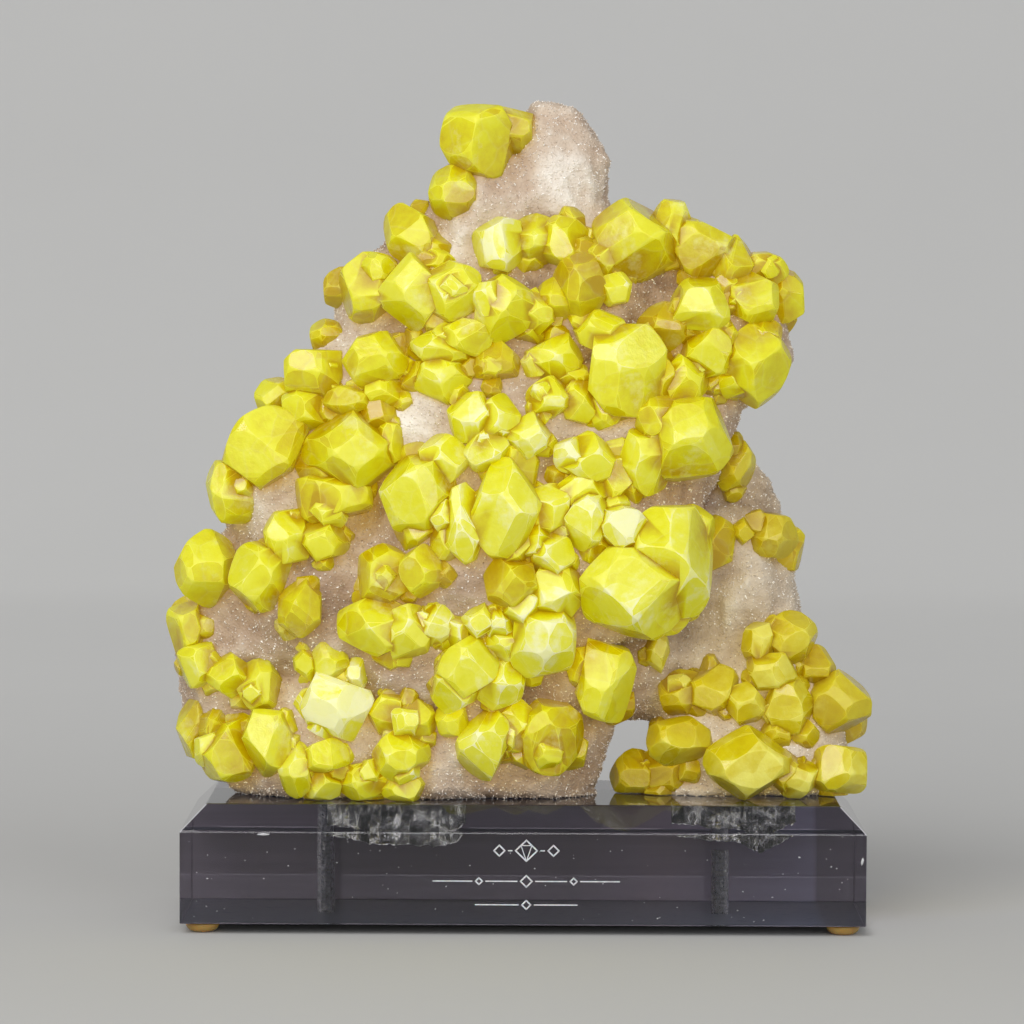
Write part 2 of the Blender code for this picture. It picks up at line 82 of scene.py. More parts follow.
def opaque(colour):
    return (*colour, 1) if isinstance(colour, tuple) else (colour, colour, colour, 1)


def feed(tree, socket, value):
    # links another socket or sets a plain value
    if isinstance(value, bpy.types.NodeSocket):
        tree.links.new(value, socket)
    else:
        socket.default_value = opaque(value) if socket.type == "RGBA" else value


def addNode(tree, kind, **settings):
    node = tree.nodes.new(kind)
    for key, value in settings.items():
        if key in node.inputs:
            feed(tree, node.inputs[key], value)
        else:
            setattr(node, key, value)
    return node


def newMaterial(name):
    material = bpy.data.materials.new(name)
    material.use_nodes = True
    return material, material.node_tree, material.node_tree.nodes["Principled BSDF"]


def setSockets(shader, values):
    for key, value in values.items():
        feed(shader.id_data, shader.inputs[key], value)


def rampNode(tree, source, stops):
    # stops: place and colour or grey
    ramp = addNode(tree, "ShaderNodeValToRGB", Fac=source)
    elements = ramp.color_ramp.elements
    while len(elements) > 1:
        elements.remove(elements[-1])
    elements[0].position, elements[0].color = stops[0][0], opaque(stops[0][1])
    for place, colour in stops[1:]:
        elements.new(place).color = opaque(colour)
    return ramp.outputs["Color"]


def mixColour(tree, share, first, second):
    mix = addNode(tree, "ShaderNodeMix", data_type="RGBA")
    for index, value in ((0, share), (6, first), (7, second)):
        feed(tree, mix.inputs[index], value)
    return mix.outputs[2]


def mathNode(tree, operation, *values, clamp=False):
    node = addNode(tree, "ShaderNodeMath", operation=operation, use_clamp=clamp)
    for socket, value in zip(node.inputs, values):
        feed(tree, socket, value)
    return node.outputs[0]


def objectPlace(tree):
    # where a spot stands on its object: whole, and split into X, Y and Z
    place = addNode(tree, "ShaderNodeTexCoord").outputs["Object"]
    return place, addNode(tree, "ShaderNodeSeparateXYZ", Vector=place).outputs


def readAttribute(tree, name):
    return addNode(tree, "ShaderNodeAttribute", attribute_name=name).outputs["Fac"]


def newGroup(name, inputs, outputs):
    group = bpy.data.node_groups.new(name, "ShaderNodeTree")
    for socket, value in inputs.items():
        group.interface.new_socket(socket, in_out="INPUT", socket_type="NodeSocketFloat").default_value = value
    for socket in outputs:
        group.interface.new_socket(socket, in_out="OUTPUT", socket_type="NodeSocketFloat")
    return group, group.nodes.new("NodeGroupInput").outputs, group.nodes.new("NodeGroupOutput").inputs


def speckleGroup():
    # cloudy mottling and fine sparkle that several finishes share
    group, start, end = newGroup("mottle and speckle", {"Cloud Size": 60, "Grain Size": 900}, ("Cloud", "Grain"))
    place = addNode(group, "ShaderNodeTexCoord").outputs["Object"]
    cloud = addNode(group, "ShaderNodeTexNoise", Vector=place, Scale=start["Cloud Size"], Detail=5, Roughness=0.6)
    grain = addNode(group, "ShaderNodeTexVoronoi", Vector=place, Scale=start["Grain Size"])
    feed(group, end["Cloud"], cloud.outputs["Fac"])
    feed(group, end["Grain"], grain.outputs["Distance"])
    return group


speckles = speckleGroup()


def useSpeckles(tree, cloudSize, grainSize):
    node = addNode(tree, "ShaderNodeGroup", node_tree=speckles)
    setSockets(node, {"Cloud Size": cloudSize, "Grain Size": grainSize})
    return node.outputs["Cloud"], node.outputs["Grain"]


def bumpInto(tree, shader, height, strength, distance):
    bump = addNode(tree, "ShaderNodeBump", Strength=strength, Distance=distance, Height=height)
    tree.links.new(bump.outputs["Normal"], shader.inputs["Normal"])


def lampsThrough(tree, shader, tint):
    # lamps shine through a clear or translucent piece, tinted at each skin
    path = addNode(tree, "ShaderNodeLightPath")
    passing = addNode(tree, "ShaderNodeBsdfTransparent", Color=tint)
    mix = addNode(tree, "ShaderNodeMixShader", Fac=path.outputs["Is Shadow Ray"])
    tree.links.new(shader.outputs[0], mix.inputs[1])
    tree.links.new(passing.outputs[0], mix.inputs[2])
    tree.links.new(mix.outputs[0], tree.nodes["Material Output"].inputs["Surface"])


# mesh helpers

def finishObject(bm, name, materials=(), smooth=False):
    mesh = bpy.data.meshes.new(name)
    bm.to_mesh(mesh)
    bm.free()
    piece = bpy.data.objects.new(name, mesh)
    bpy.context.scene.collection.objects.link(piece)
    for material in materials:
        mesh.materials.append(material)
    if smooth:
        mesh.shade_smooth()
    return piece


def handIn(piece, slot, *nodes):
    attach(piece, "root")
    if nodes:
        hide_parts(*nodes)


def evaluatedMesh(piece):
    depsgraph = bpy.context.evaluated_depsgraph_get()
    return bpy.data.meshes.new_from_object(piece.evaluated_get(depsgraph), depsgraph=depsgraph)


def applyModifiers(piece):
    mesh = evaluatedMesh(piece)
    piece.modifiers.clear()
    piece.data = mesh


def cutOff(bm, point, normal):
    cut = bmesh.ops.bisect_plane(bm, geom=bm.verts[:] + bm.edges[:] + bm.faces[:], dist=1e-6,
                                 plane_co=point, plane_no=normal, clear_outer=True)
    rim = [part for part in cut["geom_cut"] if isinstance(part, bmesh.types.BMEdge)]
    if rim:
        bmesh.ops.holes_fill(bm, edges=rim)


# sulfur crystals: each one a faceted bipyramid on its place on the rock

crystalShape = {
    "axes": (0.813, 1.0, 1.903),
    "largeForms": {(1, 1, 1): 1.0, (0, 1, 1): 1.12, (0, 0, 1): 1.16, (1, 1, 3): 1.2},
    "smallForms": {(1, 1, 1): 1.0, (0, 0, 1): 1.1},
    "extraForms": {(1, 1, 3): 1.17, (0, 1, 1): 1.13},    # small faces that blunt the small crystals
    "largeFrom": 18,
    "jitter": 0.13,
    "merge": 0.11,
    "seed": 4,
    "fullness": 1.18,
    "sink": 0.16,
    "bevel": 0.015,                 # share of a crystal's size
    "rockBase": 0.3,                # mm above the block
    "buds": (0, 0, 1, 1),           # small ones grown on a crystal
    "skirt": 2,                     # and round its base
    # x, z, reach, lift of tone: shattered pale ones, and darker golden ones in the hollows as painted shade
    "paleAndShadedSpots": (
        (-55, 68, 11, 0.45), (29, 121, 8, 0.3), (-8, 204, 8, 0.35), (-20, 96, 7, 0.25), (41, 180, 10, -0.5),
        (-9, 169, 10, -0.5), (-41, 107, 9, -0.45), (-30, 108, 8, -0.45), (-4, 105, 8, -0.45), (-66, 97, 9, -0.4),
        (8, 59, 9, -0.45), (16, 192, 10, -0.4), (-38, 182, 7, -0.3), (52, 155, 8, -0.25), (-48, 152, 7, -0.3),
    ),
}

# x, z, width and height as seen on the plane of the block's front, mm from the middle of the block
frontCrystals = {
    "crown": [
        (-14, 234, 20, 19), (-6, 237, 14, 13), (-21, 219, 13, 15), (-33, 206, 15, 18),
        (-8, 204, 14, 14), (2, 205, 14, 14), (11, 204, 13, 15), (16, 192, 14, 17),
    ],
    "upper_left": [
        (-45, 191, 17, 19), (-33, 190, 18, 20), (-22, 190, 16, 16), (-26, 198, 10, 9),
        (-44, 170, 17, 15), (-58, 177, 9, 9), (-62, 166, 15, 12), (-73, 159, 11, 10),
        (-64, 155, 13, 12), (-52, 158, 13, 8), (-41, 160, 11, 8), (-24, 173, 17, 12),
        (-17, 177, 13, 10), (-24, 164, 15, 13), (-9, 169, 13, 14), (-35, 167, 7, 8),
    ],
    "upper_middle": [
        (-6, 185, 16, 18), (3, 184, 12, 13), (9, 188, 11, 12), (26, 191, 9, 9), (8, 170, 15, 15),
        (30, 167, 20, 24), (22, 179, 14, 11), (7, 159, 12, 12), (16, 158, 11, 12), (24, 156, 10, 11),
        (14, 164, 10, 9), (-16, 153, 12, 14), (-8, 153, 12, 13), (1, 148, 12, 13),
        (-11, 144, 12, 12), (41, 180, 15, 14), (46, 163, 14, 16), (53, 173, 13, 15),
        (67, 169, 19, 22), (57, 164, 9, 9),
    ],
    "top_right": [
        (32, 205, 22, 22), (43, 207, 14, 18), (23, 200, 12, 14), (51, 202, 19, 18),
        (61, 198, 11, 16), (70, 197, 12, 9), (66, 189, 14, 15), (76, 189, 10, 14), (51, 186, 16, 15),
    ],
    "left": [
        (-76, 144, 22, 22), (-51, 143, 25, 24), (-40, 146, 10, 13), (-86, 131, 14, 16),
        (-56, 130, 20, 14), (-70, 118, 12, 14), (-59, 117, 14, 13), (-93, 108, 17, 21),
        (-77, 106, 18, 18), (-66, 97, 11, 15), (-99, 90, 11, 16), (-96, 80, 11, 12),
        (-87, 77, 12, 12), (-78, 74, 12, 14), (-63, 81, 9, 10), (-57, 81, 10, 12), (-50, 78, 8, 11),
    ],
    "lower_left": [
        (-55, 68, 19, 18), (-96, 61, 11, 15), (-86, 55, 16, 17), (-75, 57, 14, 18),
        (-67, 49, 9, 15), (-58, 53, 12, 10), (-59, 45, 10, 9), (-48, 46, 15, 10),
        (-36, 54, 15, 15), (-35, 44, 12, 9), (-39, 66, 12, 12), (-33, 64, 13, 13), (-21, 64, 9, 9),
    ],
    "centre": [
        (-31, 131, 21, 20), (-24, 141, 13, 13), (-18, 122, 13, 21), (-6, 126, 19, 27),
        (7, 126, 12, 14), (3, 117, 10, 10), (8, 113, 12, 13), (18, 123, 12, 16), (29, 121, 14, 12),
        (32, 102, 27, 24), (43, 111, 22, 28), (18, 141, 17, 15), (17, 132, 14, 10),
        (27, 136, 13, 13), (36, 141, 15, 18), (48, 147, 23, 22), (9, 102, 17, 15), (0, 98, 12, 12),
        (5, 89, 18, 22), (-44, 92, 19, 16), (-34, 90, 12, 15), (-26, 92, 10, 11), (-20, 90, 9, 10),
        (-13, 93, 10, 11), (-7, 93, 8, 10), (-6, 87, 10, 10), (-17, 80, 17, 18), (-20, 74, 13, 14),
        (-7, 75, 13, 14), (-12, 57, 14, 19), (-3, 62, 14, 15), (8, 59, 17, 19), (24, 76, 16, 22),
        (-41, 107, 14, 16), (-30, 108, 12, 14), (-4, 105, 14, 13),
    ],
    "slab": [
        (61, 139, 12, 15), (72, 119, 15, 12), (58, 117, 5, 6), (79, 89, 13, 14), (69, 87, 9, 11),
        (73, 79, 13, 10), (85, 80, 12, 12), (93, 70, 16, 17), (78, 68, 14, 17), (47, 72, 13, 13),
        (56, 73, 14, 14), (65, 69, 12, 12), (46, 58, 17, 13), (33, 48, 13, 14), (42, 49, 14, 13),
        (66, 52, 23, 20), (81, 47, 11, 11), (93, 50, 14, 13), (39, 85, 7, 12),
    ],
}

# a place along the side (y) or the back (x), then height and width
hiddenClumps = {
    "left_side": [(6, 90, 17), (10, 146, 16)],
    "right_side": [(10, 60, 17), (8, 112, 14), (6, 182, 15)],
    "back": [(-58, 96, 18), (-20, 150, 17), (32, 118, 19), (-4, 72, 15)],
}


def formNormals(form):
    normals = set()
    for signs in range(8):
        index = [value * (-1 if signs >> place & 1 else 1) for place, value in enumerate(form)]
        normals.add(tuple(value / length for value, length in zip(index, crystalShape["axes"])))
    return [Vector(normal).normalized() for normal in sorted(normals)]


def rebuildHull(bm, corners, angle):
    # the convex skin round the corners, with faces flatter than angle joined
    bm.clear()
    for corner in corners:
        bm.verts.new(corner)
    hull = bmesh.ops.convex_hull(bm, input=bm.verts)
    spare = {part for part in hull["geom_interior"] if isinstance(part, bmesh.types.BMVert)}
    bmesh.ops.delete(bm, geom=list(spare), context="VERTS")
    bmesh.ops.dissolve_limit(bm, angle_limit=math.radians(angle), verts=bm.verts, edges=bm.edges)
    bmesh.ops.recalc_face_normals(bm, faces=bm.faces)


def growCrystal(width, height, chance, detail):
    shape = crystalShape
    cube = bmesh.new()
    bmesh.ops.create_cube(cube, size=6)
    large = max(width, height) >= shape["largeFrom"] * mm
    for form, distance in (shape["largeForms"] if large else shape["smallForms"]).items():
        for normal in formNormals(form):
            off = distance * (1 + chance.uniform(-shape["jitter"], shape["jitter"]))
            cutOff(cube, normal * off, normal)
    if not large:
        for form, distance in shape["extraForms"].items():
            for normal in formNormals(form):
                cutOff(cube, normal * distance * (1 + detail.uniform(-0.09, 0.09)), normal)
    bmesh.ops.remove_doubles(cube, verts=cube.verts, dist=shape["merge"])
    turn = Euler([chance.uniform(-math.pi, math.pi) for _ in range(3)]).to_matrix()
    corners = [turn @ vert.co for vert in cube.verts]
    cube.free()
    low = [min(corner[axis] for corner in corners) for axis in range(3)]
    high = [max(corner[axis] for corner in corners) for axis in range(3)]
    spans = (width, (width + height) / 2, height)
    bm = bmesh.new()
    rebuildHull(bm, [[(corner[axis] - (low[axis] + high[axis]) / 2) * spans[axis] / (high[axis] - low[axis])
                      for axis in range(3)] for corner in corners], 3)
    return bm


def bluntCorners(bm, size, detail):
    # every corner carries a small face of its own
    share = detail.uniform(0.2, 0.3)
    corners = []
    for edge in bm.edges:
        first, second = (vert.co for vert in edge.verts)
        corners += [first.lerp(second, share), second.lerp(first, share)]
    kept = []
    for corner in corners:
        if all((corner - other).length > 0.05 * size for other in kept):
            kept.append(corner)
    rebuildHull(bm, kept, 6)


def terraceFaces(bm, size, detail):
    # some broad faces grew in steps
    for face in [face for face in bm.faces if face.calc_area() > (0.3 * size) ** 2]:
        roomy = min(edge.calc_length() for edge in face.edges) > 0.16 * size
        if detail.random() < 0.5 and roomy:
            bmesh.ops.inset_region(bm, faces=[face], thickness=size * detail.uniform(0.03, 0.07),
                                   depth=-size * detail.uniform(0.004, 0.012), use_even_offset=True)


def sightHit(rockTree, x, z, strict=False):
    aim = (middle + Vector((x, 0, z)) + Vector((0, frontPlane - middle.y, 0)) - eye).normalized()
    hit = rockTree.ray_cast(eye, aim)
    if hit[0] or strict:
        return hit[0], aim
    reach = [eye + aim * (step * 2 * mm - eye.y + frontPlane) for step in range(10, 34)]
    return min(reach, key=lambda place: rockTree.find_nearest(place)[3]), aim


def crystalPlan(rockTree):
    # region, middle, size, bmesh and a lift of tone for every crystal
    shape = crystalShape
    chance, detail = random.Random(shape["seed"]), random.Random(11)
    plan = []
    for region, rows in frontCrystals.items():
        for x, z, width, height in rows:
            hit, aim = sightHit(rockTree, x * mm, z * mm)
            scale = shape["fullness"] * mm * (hit.y - eye.y) / (frontPlane - eye.y)
            place = hit - aim * shape["sink"] * width * mm
            plan.append((region, place, width * scale, growCrystal(width * scale, height * scale, chance, detail), 0))
            size = (width + height) / 2 * scale
            for _ in range(detail.choice(shape["buds"]) if 11 < width < 21 and region != "crown" else 0):
                away = Vector((detail.uniform(-1, 1), detail.uniform(-1.1, 0.1), detail.uniform(-1, 1))).normalized()
                bud = size * detail.uniform(0.42, 0.6)
                plan.append((region, place + away * size * 0.3, bud, growCrystal(bud, bud, detail, detail), 0.03))
            for _ in range(shape["skirt"]):
                angle, reach = detail.uniform(0, math.tau), detail.uniform(0.36, 0.56)
                spot = (x + math.cos(angle) * width * reach) * mm, (z + math.sin(angle) * height * reach) * mm
                low, aim = sightHit(rockTree, *spot, strict=True)
                if not low or region == "crown" and z > 215:
                    continue
                small = detail.uniform(0.4, 0.62) * size
                # the small ones round a base get a darker tone, painted shade
                plan.append((region, low, small, growCrystal(small, small * 1.1, detail, detail), -0.2))
    starts = {
        "left_side": lambda along, z: (Vector((-0.2, along, z)), Vector((1, 0, 0))),
        "right_side": lambda along, z: (Vector((0.2, along, z)), Vector((-1, 0, 0))),
        "back": lambda along, z: (Vector((along, 0.2, z)), Vector((0, -1, 0))),
    }
    for region, clumps in hiddenClumps.items():
        for along, z, width in clumps:
            for share, slide, rise in ((1, 0, 0), (0.8, 0.46, chance.uniform(-0.4, 0.4))):
                start, aim = starts[region]((along + slide * width) * mm, (z + rise * width) * mm)
                hit = rockTree.ray_cast(start + middle, aim)[0]
                size = width * share * mm
                plan.append((region, hit + aim * 0.1 * size, size, growCrystal(size, size, chance, detail), 0))
    return plan


def veilGroup():
    # flat veils and cleavage inside a crystal, with frosted patches
    group, start, end = newGroup("inner veils", {"Spacing": 85}, ("Veil", "Crack", "Frost"))
    place = addNode(group, "ShaderNodeTexCoord").outputs["Object"]
    wander = addNode(group, "ShaderNodeTexNoise", Vector=place, Scale=90, Detail=2)
    shift = addNode(group, "ShaderNodeVectorMath", operation="ADD")
    feed(group, shift.inputs[0], place)
    feed(group, shift.inputs[1], mixColour(group, 0.006, (0, 0, 0), wander.outputs["Color"]))
    cells, splits = (addNode(group, "ShaderNodeTexVoronoi", feature=feature, Vector=shift.outputs[0],
                             Scale=start["Spacing"]) for feature in ("F1", "DISTANCE_TO_EDGE"))
    frost = addNode(group, "ShaderNodeTexNoise", Vector=place, Scale=75, Detail=6, Roughness=0.7)
    level = addNode(group, "ShaderNodeSeparateColor", Color=cells.outputs["Color"])
    feed(group, end["Veil"], level.outputs[0])
    feed(group, end["Crack"], rampNode(group, splits.outputs["Distance"], ((0.0, 1), (0.018, 0.4), (0.05, 0))))
    feed(group, end["Frost"], rampNode(group, frost.outputs["Fac"], ((0.56, 0), (0.7, 1))))
    return group


veils = veilGroup()


def makeSulfur(name, colours):
    material, tree, shader = newMaterial(name)
    cloud, _ = useSpeckles(tree, 230, 2400)
    inner = addNode(tree, "ShaderNodeGroup", node_tree=veils).outputs
    shade, facet = readAttribute(tree, "tone"), readAttribute(tree, "facet")
    for source, weight in ((cloud, 0.7), (facet, 0.22), (inner["Veil"], 0.2)):
        spread = mathNode(tree, "MULTIPLY_ADD", source, weight, -weight / 2)
        shade = mathNode(tree, "ADD", shade, spread, clamp=True)
    hazy = mathNode(tree, "MAXIMUM", mathNode(tree, "MULTIPLY", inner["Frost"], 0.5),
                    mathNode(tree, "MULTIPLY", inner["Crack"], 0.1))
    setSockets(shader, {"Base Color": mixColour(tree, hazy, rampNode(tree, shade, colours), colours[-1][1]),
                        "Roughness": rampNode(tree, facet, ((0.0, 0.12), (0.5, 0.26), (1.0, 0.5))),
                        "IOR": 1.95, "Specular IOR Level": 0.26, "Transmission Weight": 0.12,
                        "Subsurface Weight": 0.5, "Subsurface Radius": (1.0, 0.94, 0.13), "Subsurface Scale": 0.01})
    bumpInto(tree, shader, cloud, 0.2, 0.0015)
    lampsThrough(tree, shader, (0.9, 0.8, 0.22))
    return material


sulfurColours = {
    "lemon sulfur": ((0.0, (0.50, 0.34, 0.001)), (0.3, (0.64, 0.56, 0.001)), (0.55, (0.74, 0.725, 0.005)),
                     (0.8, (0.79, 0.79, 0.06)), (1.0, (0.85, 0.86, 0.46))),
    "golden sulfur": ((0.0, (0.40, 0.26, 0.001)), (0.35, (0.53, 0.41, 0.001)), (0.7, (0.62, 0.535, 0.004)),
                      (1.0, (0.76, 0.72, 0.12))),
}


def sharpenCreases(mesh):
    # crystals meet in crisp lines
    bm = bmesh.new()
    bm.from_mesh(mesh)
    for edge in bm.edges:
        if edge.calc_face_angle_signed(0) < -0.12:
            edge.smooth = False
    bm.to_mesh(mesh)
    bm.free()


def growTogether(singles, name):
    # joins crystals that touch into one skin
    piece = singles[0]
    piece.name = name
    rest = bpy.data.collections.new(name + " rest")
    for single in singles[1:]:
        bpy.context.scene.collection.objects.unlink(single)
        rest.objects.link(single)
    join = piece.modifiers.new("join", "BOOLEAN")
    join.operation = "UNION"
    join.operand_type = "COLLECTION"
    join.collection = rest
    join.solver = "MANIFOLD"
    applyModifiers(piece)
    for single in singles[1:]:
        bpy.data.objects.remove(single, do_unlink=True)
    bpy.data.collections.remove(rest)
    return piece


def dressCrystals():
    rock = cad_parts["matrix"]
    rockTree = BVHTree.FromObject(rock, bpy.context.evaluated_depsgraph_get())
    finishes = {name: makeSulfur(name, colours) for name, colours in sulfurColours.items()}
    detail = random.Random(23)
    groups = {}
    for region, place, size, bm, lift in crystalPlan(rockTree):
        for _ in range(2 if size > 0.015 else 1):
            bluntCorners(bm, size, detail)
        terraceFaces(bm, size, detail)
        bmesh.ops.bevel(bm, geom=bm.edges[:], offset=crystalShape["bevel"] * size, offset_type="OFFSET",
                        affect="EDGES", segments=2 if size > 0.009 else 1, profile=0.5, material=-1,
                        clamp_overlap=True)
        bmesh.ops.translate(bm, verts=bm.verts, vec=place)
        cutOff(bm, (0, 0, blockTop + crystalShape["rockBase"] * mm), (0, 0, -1))
        if not bm.faces:
            bm.free()
            continue
        # painted shade: crystals set further back are darker
        depth = (place.y - frontPlane) / 0.05 - (0.4 if region == "slab" else 0)
        tone = 0.86 - 0.7 * depth + lift + detail.uniform(-0.1, 0.1)
        # spots with a negative lift are darker in the hollows, painted shade
        tone += sum(extra for x, z, reach, extra in crystalShape["paleAndShadedSpots"]
                    if (place.x / mm - x) ** 2 + (place.z / mm - z) ** 2 < reach ** 2)
        facetLayer = bm.faces.layers.float.new("facet")
        toneAndShadeLayer = bm.verts.layers.float.new("tone")
        for vert in bm.verts:               # painted shade: darker towards the root, near the rock
            rise = rockTree.find_nearest(vert.co)[3] / (0.6 * size)
            vert[toneAndShadeLayer] = min(1, max(0, tone - 0.4 + 0.45 * min(1, rise)))
        # the small bevel faces take the top value and read as pale edge lines, a painted highlight; the broad faces
        # vary at random
        for face in bm.faces:
            face[facetLayer] = 1.05 if face.calc_area() < (0.06 * size) ** 2 else detail.random()
        groups.setdefault(region, []).append(finishObject(bm, "single"))
    nodes = [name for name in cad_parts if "crystals" in name]
    for region, singles in groups.items():
        piece = growTogether(singles, region + "_sulfur")
        piece.data.materials.clear()
        piece.data.materials.append(finishes["golden sulfur" if region == "slab" else "lemon sulfur"])
        piece.data.shade_smooth()
        piece.data.set_sharp_from_angle(angle=math.radians(38))
        sharpenCreases(piece.data)
        weigh = piece.modifiers.new("flat faces", "WEIGHTED_NORMAL")
        weigh.weight = 100
        weigh.keep_sharp = True
        shared = "centre" if region in ("upper_middle", "top_right") else region
        handIn(piece, "sulfur", *[name for name in nodes if name.startswith(shared + "_crystals")])
        print("grown:", piece.name, len(piece.data.polygons))


dressCrystals()


# matrix: a lumpy crust covered in fine druse

rockShape = {
    "voxel": 1.35,                  # mm
    "melt": 5,
    "inflate": 0.75,
    "lumps": ("CLOUDS", 9.0, 1.6),  # texture, spacing mm, height mm
    "knobs": ("VORONOI", 3.4, -0.9),
    "grit": ("CLOUDS", 1.6, 0.55),
    "grainSize": (0.45, 1.15),      # mm
    "grainsPerSquareMetre": 240000,
    "grainPieces": 4,
    "grainTilt": 0.7,               # radians, either way
    "plugs": ((-36, -7, 18.5, 14), (58, 3, 22.8, 11)),      # x, y and half widths of the feet in their seats, mm
    "seam": ((61.7, 143.7), (52.9, 120.2), (41.2, 93.8), (36.8, 70.3), (34, 40)),    # left edge of the set back slab
    # x, z, reach, lift of shade: pale sugary lumps, and brown hollows that are painted shade
    "patches": (
        (-35, 151, 12, 0.3), (15, 217, 11, 0.22), (-66, 72, 13, 0.3), (-63, 130, 9, 0.26), (-98, 130, 9, 0.24),
        (-58, 178, 12, 0.2), (60, 47, 10, 0.16), (-25, 202, 9, 0.2), (8, 222, 8, 0.1), (-80, 125, 8, 0.24),
        (-60, 96, 14, -0.22), (-78, 66, 12, -0.25), (-40, 80, 10, -0.12), (-95, 50, 9, -0.3), (12, 190, 8, -0.12),
        (-6, 235, 8, -0.08), (27, 60, 14, -0.08), (-103, 88, 7, -0.25), (66, 130, 10, -0.2), (20, 78, 9, -0.15),
    ),
}


def druseColour(tree, cloud):
    shade = mathNode(tree, "ADD", cloud, readAttribute(tree, "shade"), clamp=True)
    warm = rampNode(tree, shade, ((0.2, (0.18, 0.10, 0.05)), (0.36, (0.34, 0.225, 0.14)), (0.5, (0.44, 0.32, 0.225)),
                                  (0.66, (0.54, 0.435, 0.335)), (0.9, (0.76, 0.70, 0.62))))
    cool = rampNode(tree, shade, ((0.2, (0.27, 0.19, 0.12)), (0.4, (0.45, 0.35, 0.245)), (0.6, (0.56, 0.47, 0.36)),
                                  (0.85, (0.74, 0.69, 0.60))))
    return mixColour(tree, readAttribute(tree, "slab"), warm, cool)


def makeDruse():
    material, tree, shader = newMaterial("drusy matrix")
    cloud, grain = useSpeckles(tree, 38, 1300)
    _, axes = objectPlace(tree)
    # painted shade: the rock below the top of the block turns dark grey, for the dark cavity it sits in
    buriedShade = mathNode(tree, "LESS_THAN", axes["Z"], blockTop + 0.2 * mm)
    setSockets(shader, {"Base Color": mixColour(tree, buriedShade, druseColour(tree, cloud), (0.16, 0.155, 0.15)),
                        "Roughness": 0.5, "IOR": 1.55})
    bumpInto(tree, shader, grain, 0.35, 0.0006)
    return material


def makeGrains():
    material, tree, shader = newMaterial("druse grains")
    cloud, grain = useSpeckles(tree, 38, 1300)
    # some grains turn near white: painted glints
    paintedGlint = mathNode(tree, "MULTIPLY_ADD", mathNode(tree, "GREATER_THAN", grain, 0.66), 0.7, 0.12)
    setSockets(shader, {"Base Color": mixColour(tree, paintedGlint, druseColour(tree, cloud), (0.95, 0.93, 0.89)),
                        "Roughness": 0.13, "IOR": 1.65})
    return material


def addTexturePush(piece, name, kind, spacing, height):
    texture = bpy.data.textures.new(name, kind)
    texture.noise_scale = spacing * mm
    push = piece.modifiers.new(name, "DISPLACE")
    push.texture = texture
    push.texture_coords = "LOCAL"
    push.strength = height * mm
    push.mid_level = 0.5


def frontSpot(point):
    # where a point stands on the plane of the block's front, mm from the middle of the block
    aim = point - eye
    seen = eye + aim * (frontPlane - eye.y) / aim.y
    return (seen.x - middle.x) / mm, seen.z / mm


def seamAt(z):
    seam = rockShape["seam"]
    for (x1, z1), (x2, z2) in zip(seam, seam[1:]):
        if z2 <= z <= z1:
            return x1 + (x2 - x1) * (z - z1) / (z2 - z1)
    return seam[0][0] if z > seam[0][1] else seam[-1][0]


def hollowDepths(bm):
    # how far each spot stands above or below the melted surface, mm
    bm.verts.ensure_lookup_table()
    bm.normal_update()
    before = [(vert.co.copy(), vert.normal.copy()) for vert in bm.verts]
    for _ in range(14):
        bmesh.ops.smooth_vert(bm, verts=bm.verts, factor=0.9, use_axis_x=True, use_axis_y=True, use_axis_z=True)
    depths = [(place - vert.co).dot(normal) / mm for vert, (place, normal) in zip(bm.verts, before)]
    for vert, (place, normal) in zip(bm.verts, before):
        vert.co = place
    bm.verts.index_update()
    return depths


def makeRock():
    shape = rockShape
    bm = bmesh.new()
    bm.from_mesh(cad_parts["matrix"].data)
    bmesh.ops.remove_doubles(bm, verts=bm.verts, dist=1e-6)
    rock = finishObject(bm, "drusy_matrix")
    remesh = rock.modifiers.new("crust", "REMESH")
    remesh.mode = "VOXEL"
    remesh.voxel_size = shape["voxel"] * mm
    smooth = rock.modifiers.new("melt", "SMOOTH")
    smooth.iterations = shape["melt"]
    swell = rock.modifiers.new("swell", "DISPLACE")
    swell.strength = shape["inflate"] * mm
    swell.mid_level = 0
    for name in ("lumps", "knobs", "grit"):
        addTexturePush(rock, name, *shape[name])
    applyModifiers(rock)
    bm = bmesh.new()
    bm.from_mesh(rock.data)
    for vert in bm.verts:               # the feet stay clear of their seats, the rest stays above the block
        if vert.co.z < blockTop + 0.6 * mm:
            x, y, *_ = shape["plugs"][vert.co.x > middle.x]
            flat = Vector((vert.co.x - middle.x - x * mm, vert.co.y - middle.y - y * mm, 0))
            vert.co -= flat.normalized() * min(1.6 * mm, flat.length * 0.2)
            if vert.co.z < blockTop - mm:
                vert.co.z += 1.4 * mm
        if all(math.hypot((vert.co.x - middle.x - x * mm) / wide, (vert.co.y - middle.y - y * mm) / deep) >= mm
               for x, y, wide, deep in shape["plugs"]):
            vert.co.z = max(vert.co.z, blockTop + 0.1 * mm)
    hollows = hollowDepths(bm)
    shadeLayer, slabLayer = bm.verts.layers.float.new("shade"), bm.verts.layers.float.new("slab")
    for vert in bm.verts:
        x, z = frontSpot(vert.co)
        # painted shade and light: darker in hollows, paler on bumps
        hollowShade = min(0.2, max(-0.26, 0.16 * hollows[vert.index]))
        vert[shadeLayer] = hollowShade - 0.04 + sum(
            lift * math.exp(-((x - spotX) ** 2 + (z - spotZ) ** 2) / reach ** 2)
            for spotX, spotZ, reach, lift in shape["patches"])
        vert[slabLayer] = min(1, max(0, (x - seamAt(z)) / 5 + 0.5)) * min(1, max(0, (152 - z) / 8))
    rock.data.clear_geometry()
    bm.to_mesh(rock.data)
    bm.free()
    rock.data.materials.append(makeDruse())
    rock.data.shade_smooth()
    handIn(rock, "matrix", "matrix")
    return rock


